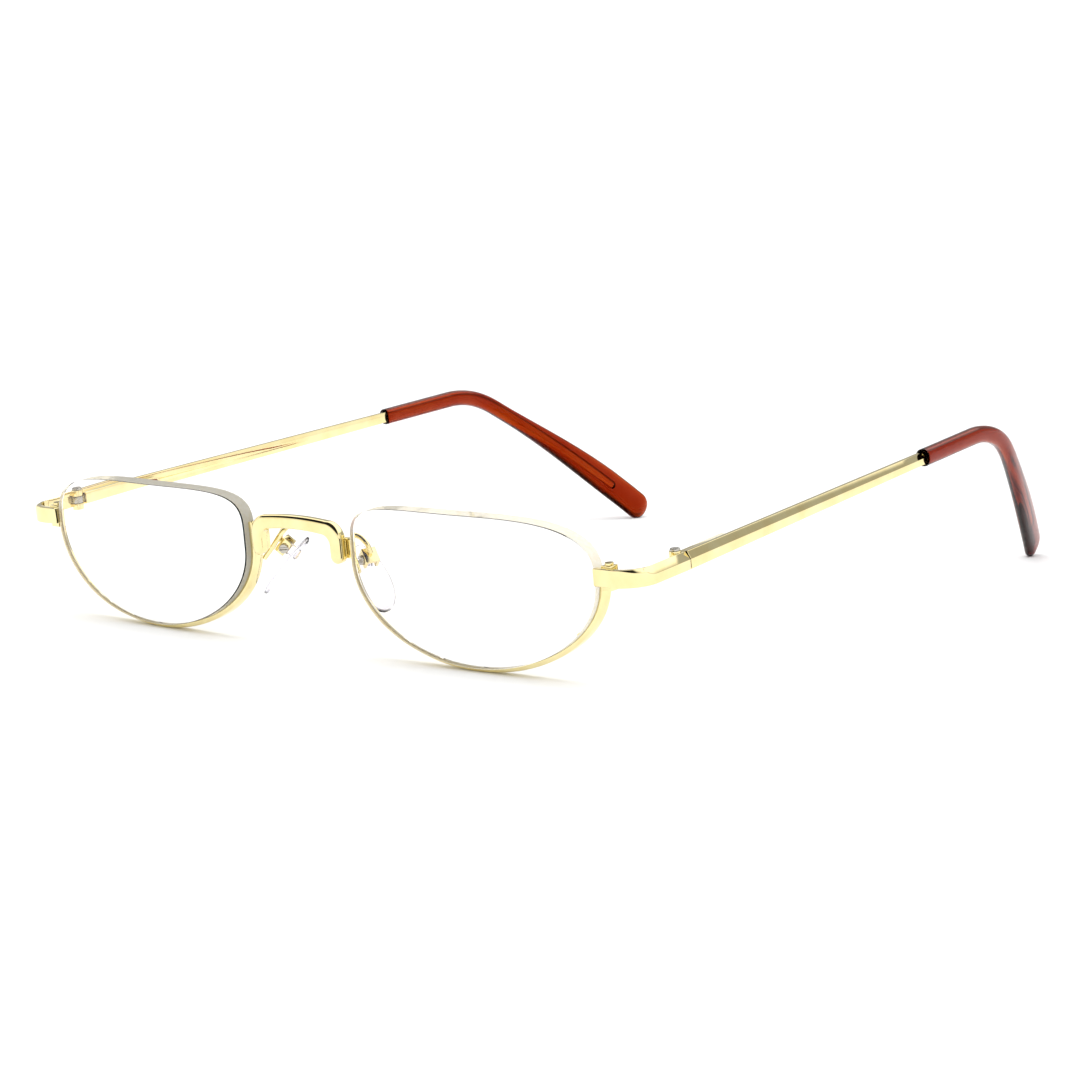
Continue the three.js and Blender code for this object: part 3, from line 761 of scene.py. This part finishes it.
# ---- Nose pads ------------------------------------------------------------------------------
# Oval pads moulded in clear silicone round a small lug, which a screw holds in the pad box so
# that the pad can rock. The rim of each pad looks faintly lilac grey.
PAD_CENTRE = Vector((10.6, 5.5, -4.4))
PAD_DOWN = Vector((0.62, -0.26, -0.74)).normalized()
PAD_BACK = Vector((0.42, 0.91, 0))
PAD_HALF_LONG = 6.3
PAD_HALF_WIDE = 3.1
PAD_FACE = 1
PAD_REAR = 0.6
PAD_BOX_Z = 2.6
PAD_AXIS_Y = -1.9
PAD_X = (PAD_BACK - PAD_DOWN * PAD_BACK.dot(PAD_DOWN)).normalized()
PAD_Y = PAD_X.cross(PAD_DOWN)


def on_pad(point, side):
    x, y, z = point
    return on_front(PAD_CENTRE + PAD_X * x + PAD_Y * y - PAD_DOWN * z, side)


def pad_solid(side):
    rings = 40
    around = 64
    made = bmesh.new()
    rows = []
    for i in range(1, rings):
        turn = math.pi * i / rings
        z = math.cos(turn)
        row = []
        for k in range(around):
            angle = 2 * math.pi * k / around
            x = math.sin(turn) * math.cos(angle)
            y = math.sin(turn) * math.sin(angle)
            thick = PAD_FACE if y > 0 else PAD_REAR
            full = abs(y) ** 0.8 * (1 if y > 0 else -1)
            row.append(made.verts.new(on_pad(
                (x * PAD_HALF_WIDE * (1 - 0.14 * z), full * thick, z * PAD_HALF_LONG), side
            )))
        rows.append(row)
    for near, far in zip(rows, rows[1:]):
        for k in range(around):
            j = (k + 1) % around
            made.faces.new((near[k], near[j], far[j], far[k]))
    for row, z in ((rows[0], 1), (rows[-1], -1)):
        pole = made.verts.new(on_pad((0, 0, z * PAD_HALF_LONG), side))
        for k in range(around):
            made.faces.new((row[k], row[(k + 1) % around], pole))
    return made


def silicone():
    material, tree, shader, place = new_material("clear_moulded_silicone")
    haze = add_node(tree, "ShaderNodeTexNoise", {"Scale": 900.0, "Detail": 3.0}, {"Vector": place})
    rough = ramp(tree, haze.outputs["Fac"], ((0.35, level(0.03)), (0.75, level(0.12))))
    tree.links.new(rough, shader.inputs["Roughness"])
    shader.inputs["Base Color"].default_value = colour("#F6F4FB")
    shader.inputs["IOR"].default_value = 1.3
    shader.inputs["Transmission Weight"].default_value = 1.0
    return material


SILICONE = silicone()
for side in SIDES:
    body = f"{side}_pad"
    add_piece(f"{side}_nose_pad_moulded", pad_solid(side), SILICONE, body, (f"{side}_nose_pad",))
    lug = rounded_block(
        (-0.62, PAD_AXIS_Y - 0.43, PAD_BOX_Z - 0.9), (0.62, -0.35, PAD_BOX_Z + 0.9), 0.2,
        lambda p, side=side: on_pad(p, side),
    )
    add_piece(f"{side}_nose_pad_lug", lug, SILICONE, body)
    head_at = on_pad((-1.25 - FIT, PAD_AXIS_Y, PAD_BOX_Z), side)
    head_to = on_pad((-1, 0, 0), side) - on_pad((0, 0, 0), side)
    slot_to = on_pad((0, 1, 1), side) - on_pad((0, 0, 0), side)
    add_screw(
        f"{side}_pad_screw_slotted", head_at, head_to, slot_to, (0.8, 0.42, 0.25, 0.4, 2.5),
        STEEL, "front", f"{side}_pad_screw",
    )

# ---- Pad arms -------------------------------------------------------------------------------
# A round wire brazed inside the rim's nose side, looped up and back and down to the pad box, so
# that it can be bent to fit the nose.
ARM_R = 0.42


def wire_tree():
    tree = bpy.data.node_groups.new("wire_along_path", "GeometryNodeTree")
    tree.interface.new_socket("Geometry", in_out="INPUT", socket_type="NodeSocketGeometry")
    tree.interface.new_socket("Wire Radius", in_out="INPUT", socket_type="NodeSocketFloat")
    tree.interface.new_socket("Sides", in_out="INPUT", socket_type="NodeSocketInt")
    tree.interface.new_socket("Finish", in_out="INPUT", socket_type="NodeSocketMaterial")
    tree.interface.new_socket("Geometry", in_out="OUTPUT", socket_type="NodeSocketGeometry")
    given = tree.nodes.new("NodeGroupInput").outputs
    path = add_node(tree, "GeometryNodeMeshToCurve", links={"Mesh": given["Geometry"]})
    ring = add_node(
        tree, "GeometryNodeCurvePrimitiveCircle",
        links={"Radius": given["Wire Radius"], "Resolution": given["Sides"]},
    )
    wire = add_node(
        tree, "GeometryNodeCurveToMesh", {"Fill Caps": True},
        {"Curve": path.outputs[0], "Profile Curve": ring.outputs[0]},
    )
    real = add_node(tree, "GeometryNodeRealizeInstances", links={"Geometry": wire.outputs[0]})
    finish = add_node(
        tree, "GeometryNodeSetMaterial",
        links={"Geometry": real.outputs[0], "Material": given["Finish"]},
    )
    out = tree.nodes.new("NodeGroupOutput")
    tree.links.new(finish.outputs[0], out.inputs[0])
    return tree


WIRE = wire_tree()


def polyline(points):
    mesh = bpy.data.meshes.new("path")
    mesh.from_pydata([tuple(p) for p in points], [(i, i + 1) for i in range(len(points) - 1)], [])
    return mesh


# A smooth line through given points, each stretch a cubic with its knots spaced by distance.
def through(points, steps):
    ends = [points[0] * 2 - points[1], *points, points[-1] * 2 - points[-2]]
    line = []
    for i in range(1, len(ends) - 2):
        p0, p1, p2, p3 = ends[i - 1:i + 3]
        t1 = (p1 - p0).length ** 0.5
        t2 = t1 + (p2 - p1).length ** 0.5
        t3 = t2 + (p3 - p2).length ** 0.5
        for k in range(steps):
            t = t1 + (t2 - t1) * k / steps
            a1 = p0.lerp(p1, t / t1)
            a2 = p1.lerp(p2, (t - t1) / (t2 - t1))
            a3 = p2.lerp(p3, (t - t2) / (t3 - t2))
            early = a1.lerp(a2, t / t2)
            late = a2.lerp(a3, (t - t1) / (t3 - t1))
            line.append(early.lerp(late, (t - t1) / (t2 - t1)))
    return line + [points[-1]]


for side in SIDES:
    seat = PAD_CENTRE + PAD_Y * (PAD_AXIS_Y - 1.5) - PAD_DOWN * PAD_BOX_Z
    route = through(
        [
            Vector((11.5, 1.4, -2.4)), Vector((10.3, 2.1, -0.8)), Vector((8.5, 2.7, 1.6)),
            Vector((7.9, 3.7, 2.6)), Vector((8.9, 4.8, 2.5)), Vector((10.6, 5, 1.3)), seat,
        ],
        12,
    )
    made = grown(
        WIRE, {"Wire Radius": ARM_R * MM, "Sides": 20, "Finish": GOLD},
        polyline([on_front(p, side) for p in route]),
    )
    add_piece(f"{side}_pad_arm_wire", made, GOLD, "front", (f"{side}_pad_arm",))

# ---- Springs --------------------------------------------------------------------------------
# A coil of spring wire round each slider inside the spring box. It pulls the temple shut against
# the endpiece after it has been flexed outwards.
AXIS_INSET = 2.1
BAR_THICK = 1.4
BOX_THICK = 1.6
BOX_X = AXIS_INSET - BAR_THICK - FIT - BOX_THICK / 2
SPRING_R = 0.43
WIRE_R = 0.1
SPRING_FROM = 2.1
SPRING_LONG = 5.3
SPRING_TURNS = 7
for side in SIDES:
    coil = []
    for i in range(SPRING_TURNS * 24 + 1):
        turn = 2 * math.pi * i / 24
        along = SPRING_FROM + SPRING_LONG * i / (SPRING_TURNS * 24)
        spot = (BOX_X + SPRING_R * math.cos(turn), along, SPRING_R * math.sin(turn))
        coil.append(on_temple(spot, side))
    made = grown(WIRE, {"Wire Radius": WIRE_R * MM, "Sides": 10, "Finish": STEEL}, polyline(coil))
    add_piece(f"{side}_spring_coil", made, STEEL, f"{side}_temple", (f"{side}_spring",))

# ---- Temple bars ----------------------------------------------------------------------------
# A tapering bar with a sloped upper outer edge, drawn down to a flat core wire that stiffens the
# tip. A shallow relief runs out along its inner face behind the spring box.
BOX_FRONT = 1.15
BAR_TALL = 2.75
BAR_TALL_END = 1.95
BAR_END = 73
BAR_MID = AXIS_INSET - BAR_THICK / 2
CORE_THICK = 0.9
CORE_TALL = 1.7
CORE_SHORT = 9
TIP_LENGTH = 71.5
TIP_END = BAR_END + TIP_LENGTH
BEND_START = 90.5
EAR_RADIUS = 19.5
EAR_ANGLE = math.radians(37.5)
EAR_END = BEND_START + EAR_RADIUS * EAR_ANGLE
PADDLE_CURVE = math.radians(10)
TIP_LEAN = math.radians(15.6)
RELIEF_FROM = 15.6
RELIEF_TO = 44
RELIEF_DEEP = 0.3


def pitch_at(s):
    in_bend = min(max((s - BEND_START) / (EAR_END - BEND_START), 0), 1)
    in_paddle = min(max((s - EAR_END) / (TIP_END - EAR_END), 0), 1)
    return EAR_ANGLE * in_bend + PADDLE_CURVE * in_paddle


def lean_at(s):
    return TIP_LEAN * smooth(BEND_START + 4, EAR_END + 6, s)


def centre_line():
    step = 0.25
    line = [Vector((0, BEND_START, 0))]
    while BEND_START + len(line) * step <= TIP_END + step:
        s = BEND_START + (len(line) - 0.5) * step
        p = pitch_at(s)
        q = lean_at(s)
        ahead = Vector((-math.sin(q), math.cos(q) * math.cos(p), -math.cos(q) * math.sin(p)))
        line.append(line[-1] + ahead * step)
    return line, step


LINE, LINE_STEP = centre_line()


# A point across and above the temple's centre line, at a distance from the hinge pin.
def on_bar(x, s, z, side):
    if s <= BEND_START:
        return on_temple((BAR_MID + x, s, z), side)
    at = (s - BEND_START) / LINE_STEP
    k = min(int(at), len(LINE) - 2)
    spot = LINE[k].lerp(LINE[k + 1], at - k)
    p = pitch_at(s)
    q = lean_at(s)
    across = Vector((math.cos(q), math.sin(q) * math.cos(p), -math.sin(q) * math.sin(p)))
    above = Vector((0, math.sin(p), math.cos(p)))
    spot = spot + across * x + above * z
    return on_temple((BAR_MID + spot.x, spot.y, spot.z), side)


def bar_solid(side):
    t = BAR_THICK / 2
    h = BAR_TALL / 2
    edge = 0.09

    def section_at(s):
        part = (s - BOX_FRONT) / (BAR_END - BOX_FRONT)
        tall = 1 + (BAR_TALL_END / BAR_TALL - 1) * part
        begun = smooth(RELIEF_FROM - 0.3, RELIEF_FROM + 0.3, s)
        fade = begun * (1 - (s - RELIEF_FROM) / (RELIEF_TO - RELIEF_FROM))
        deep = max(RELIEF_DEEP * fade, 0) if s < RELIEF_TO else 0
        half = 0.12 + 0.3 * max(fade, 0)
        shape = rounded(
            [
                (-t, -h, edge), (t, -h, edge), (t, SLOPE_FROM, edge), (t - CHAMFER, h, edge),
                (-t, h, edge),
                (-t, half - 0.2, 0.02), (-t + deep + 0.004, -0.2, 0.02), (-t, -half - 0.2, 0.02),
            ],
            steps=3,
        )
        return [(x, z * tall) for x, z in shape]

    def core_section(scale, count):
        points = []
        for k in range(count):
            angle = 2 * math.pi * k / count - math.pi * 0.75
            flat = 0.75
            c, n = math.cos(angle), math.sin(angle)
            points.append(
                (
                    math.copysign(abs(c) ** flat, c) * CORE_THICK / 2 * scale,
                    math.copysign(abs(n) ** flat, n) * CORE_TALL / 2 * scale,
                )
            )
        return points

    rings = []
    first = section_at(BOX_FRONT)
    rings.append([on_bar(x * 0.95, BOX_FRONT, z * 0.96, side) for x, z in first])
    places = [BOX_FRONT + 0.07, 5, 10, 14, RELIEF_FROM - 0.3, RELIEF_FROM, RELIEF_FROM + 0.3]
    places += [RELIEF_FROM + 0.3 + (RELIEF_TO - RELIEF_FROM) * i / 12 for i in range(1, 13)]
    places += [48, 54, 60, 66, BAR_END - 0.12]
    for s in places:
        rings.append([on_bar(x, s, z, side) for x, z in section_at(s)])
    last = section_at(BAR_END)
    rings.append([on_bar(x * 0.95, BAR_END - FIT, z * 0.96, side) for x, z in last])
    count = len(last)
    end = TIP_END - CORE_SHORT
    core = [BAR_END - FIT + 0.02 + (end - 1 - BAR_END) * i / 60 for i in range(61)]
    for s in core:
        rings.append([on_bar(x, s, z, side) for x, z in core_section(1, count)])
    for k in range(1, 7):
        turn = math.pi / 2 * k / 6
        scale = max(math.cos(turn), 0.08)
        ring = core_section(scale, count)
        rings.append([on_bar(x, end - 1 + math.sin(turn), z, side) for x, z in ring])
    return skin(rings)


for side in SIDES:
    add_piece(
        f"{side}_temple_bar_drawn", bar_solid(side), GOLD, f"{side}_temple",
        (f"{side}_temple_bar",), crease=24,
    )

# ---- Temple tips ----------------------------------------------------------------------------
# Translucent brown cellulose acetate pushed over the core wire and bent round the ear, then
# tumble polished. The wire shows inside as a darker line, and thin parts glow orange.
TIP_THICK = 2.7
TIP_TALL = 3.0
PADDLE_TALL = 5.5


def tip_solid(side):
    around = 48

    def section(s, scale):
        tall = TIP_TALL + (PADDLE_TALL - TIP_TALL) * smooth(BAR_END + 32, TIP_END - 9, s)
        slim = 1 - 0.14 * smooth(BAR_END + 40, TIP_END - 4, s)
        points = []
        for k in range(around):
            angle = 2 * math.pi * k / around
            c, n = math.cos(angle), math.sin(angle)
            x = math.copysign(abs(c) ** 0.82, c) * TIP_THICK / 2 * slim * scale
            z = math.copysign(abs(n) ** 0.86, n) * tall / 2 * scale
            points.append((x, z))
        return points

    rings = []
    lip = 0.35
    for k in range(6):
        turn = math.pi / 2 * k / 5
        scale = 1 - (lip / (TIP_TALL / 2)) * (1 - math.sin(turn))
        rings.append((BAR_END + lip * (1 - math.cos(turn)), scale))
    dome = PADDLE_TALL * 0.46
    body_end = TIP_END - dome
    for i in range(1, 81):
        rings.append((BAR_END + lip + (body_end - BAR_END - lip) * i / 80, 1.0))
    for k in range(1, 15):
        turn = math.pi / 2 * k / 14
        rings.append((body_end + dome * math.sin(turn), max(math.cos(turn) ** 0.9, 0.04)))
    return skin([[on_bar(x, s, z, side) for x, z in section(s, scale)] for s, scale in rings])


def acetate():
    material, tree, shader, place = new_material("brown_cellulose_acetate")
    cloud = add_node(tree, "ShaderNodeTexNoise", {"Scale": 140.0, "Detail": 3.0}, {"Vector": place})
    haze = add_node(tree, "ShaderNodeTexNoise", {"Scale": 1500.0, "Detail": 2.0}, {"Vector": place})
    tint = ramp(tree, cloud.outputs["Fac"], ((0.3, colour("#FFC58E")), (0.75, colour("#EE8F50"))))
    rough = ramp(tree, haze.outputs["Fac"], ((0.35, level(0.02)), (0.75, level(0.06))))
    tree.links.new(tint, shader.inputs["Base Color"])
    tree.links.new(rough, shader.inputs["Roughness"])
    shader.inputs["IOR"].default_value = 1.48
    shader.inputs["Specular Tint"].default_value = colour("#6E4632")
    shader.inputs["Transmission Weight"].default_value = 1.0
    depth = add_node(tree, "ShaderNodeVolumeAbsorption", {"Color": colour("#E0A340"), "Density": 2200.0})
    tree.links.new(depth.outputs[0], tree.nodes["Material Output"].inputs["Volume"])
    return material


ACETATE = acetate()
for side in SIDES:
    add_piece(
        f"{side}_tip_acetate", tip_solid(side), ACETATE, f"{side}_temple", (f"{side}_tip",)
    )

# ---- Studio ---------------------------------------------------------------------------------
# A white sweep under an even white dome. Polished metal also mirrors a grey wall and a bright
# softbox behind, and the dark room in front, which draw its edges and slopes.
floor_mesh = bpy.data.meshes.new("floor")
reach = 6.0
under = -0.00003
floor_mesh.from_pydata(
    [(-reach, -reach, under), (reach, -reach, under), (reach, reach, under), (-reach, reach, under)],
    [], [(0, 1, 2, 3)],
)
floor = bpy.data.objects.new("floor", floor_mesh)
bpy.context.scene.collection.objects.link(floor)
paper, paper_tree, paper_shader, _ = new_material("matt_white_sweep")
paper_shader.inputs["Base Color"].default_value = colour("#F8F8F8")
paper_shader.inputs["Roughness"].default_value = 0.9
paper_shader.inputs["Specular IOR Level"].default_value = 0.1
floor_mesh.materials.append(paper)

DOME = 1.13
world = bpy.data.worlds.new("white_studio")
bpy.context.scene.world = world
world.use_nodes = True
air = world.node_tree
toward = add_node(air, "ShaderNodeTexCoord").outputs["Generated"]


# How much of a soft-edged round panel is seen in a direction: 1 inside, 0 outside.
def panel(direction, inner, outer):
    dot = add_node(
        air, "ShaderNodeVectorMath", {1: Vector(direction).normalized()}, {0: toward},
        operation="DOT_PRODUCT",
    )
    return add_node(
        air, "ShaderNodeMapRange",
        {"From Min": math.cos(math.radians(outer)), "From Max": math.cos(math.radians(inner))},
        {"Value": dot.outputs["Value"]}, interpolation_type="SMOOTHSTEP",
    ).outputs[0]


def set_tone(light, share, tone):
    return add_node(
        air, "ShaderNodeMix", {"B": tone}, {"Factor": share, "A": light}, data_type="FLOAT"
    ).outputs[0]


# How far a direction lies past a level along one axis: 0 before it, 1 after it.
def beyond(axis, start, end):
    parts = add_node(air, "ShaderNodeSeparateXYZ", links={"Vector": toward})
    return add_node(
        air, "ShaderNodeMapRange", {"From Min": start, "From Max": end}, {"Value": parts.outputs[axis]},
        interpolation_type="SMOOTHSTEP",
    ).outputs[0]


def both_of(first, second):
    return add_node(air, "ShaderNodeMath", links={0: first, 1: second}, operation="MULTIPLY").outputs[0]


WALL = 0.46
SOFTBOX = 1.5
DARK_ROOM = 0.02
bright = add_node(air, "ShaderNodeValue").outputs[0]
bright.default_value = DOME
wall = both_of(beyond("Y", 0.5, 0.62), beyond("Z", 0.1, 0.22))
above = both_of(beyond("Z", 0.5, 0.58), beyond("Y", 0.0, 0.1))
room = both_of(panel((-0.1, -0.7, 0.7), 53, 59), beyond("Z", 0.22, 0.4))
toned = set_tone(set_tone(set_tone(bright, wall, WALL), above, SOFTBOX), room, DARK_ROOM)
rays = add_node(air, "ShaderNodeLightPath")
seen = add_node(
    air, "ShaderNodeMix", {"A": DOME}, {"Factor": rays.outputs["Is Glossy Ray"], "B": toned},
    data_type="FLOAT",
).outputs[0]
air.links.new(seen, air.nodes["Background"].inputs["Strength"])
air.nodes["Background"].inputs["Color"].default_value = colour("#FFFFFF")

softbox_light = bpy.data.lights.new("overhead_softbox", "AREA")
softbox_light.shape = "RECTANGLE"
softbox_light.size = 0.5
softbox_light.size_y = 0.35
softbox_light.energy = 1.2
softbox = bpy.data.objects.new("overhead_softbox", softbox_light)
softbox.location = (0.05, -0.05, 0.6)
softbox.visible_glossy = False
bpy.context.scene.collection.objects.link(softbox)

# A black card beside the front's left end is mirrored only by polished metal.
card_mesh = bpy.data.meshes.new("black_card")
near, far, tall = Vector((0.0164, -0.08, 0.010)), Vector((0.022, -0.0762, 0.010)), Vector((0, 0, 0.010))
card_mesh.from_pydata([tuple(p) for p in (near, far, far + tall, near + tall)], [], [(0, 1, 2, 3)])
card = bpy.data.objects.new("black_card", card_mesh)
bpy.context.scene.collection.objects.link(card)
felt, _, felt_shader, _ = new_material("black_felt")
felt_shader.inputs["Base Color"].default_value = colour("#050505")
felt_shader.inputs["Roughness"].default_value = 0.9
card_mesh.materials.append(felt)
card.visible_camera = card.visible_diffuse = card.visible_shadow = card.visible_transmission = False

# The camera stands at the wearer's front left, a little above the table, with a long lens.
TURN = math.radians(40.57)
RISE = math.radians(8.63)
ROLL = math.radians(-1.30)
DISTANCE = 0.5679
AIM = MIDDLE + Vector((0, 0.06, -0.00081))
away = Vector((math.sin(TURN) * math.cos(RISE), -math.cos(TURN) * math.cos(RISE), math.sin(RISE)))
level_right = Vector((math.cos(TURN), math.sin(TURN), 0))
level_up = away.cross(level_right)
right = level_right * math.cos(ROLL) + level_up * math.sin(ROLL)
top = level_up * math.cos(ROLL) - level_right * math.sin(ROLL)
camera_data = bpy.data.cameras.new("camera")
camera_data.lens = 107.77
camera_data.sensor_width = 36
camera_data.clip_start = 0.01
camera_data.clip_end = 50
camera = bpy.data.objects.new("camera", camera_data)
spot = AIM + right * -0.0012 + top * -0.005 + away * DISTANCE
pose = Matrix((right, top, away)).transposed().to_4x4()
pose.translation = spot
camera.matrix_world = pose
bpy.context.scene.collection.objects.link(camera)
bpy.context.scene.camera = camera
bpy.context.scene.view_settings.view_transform = "Standard"
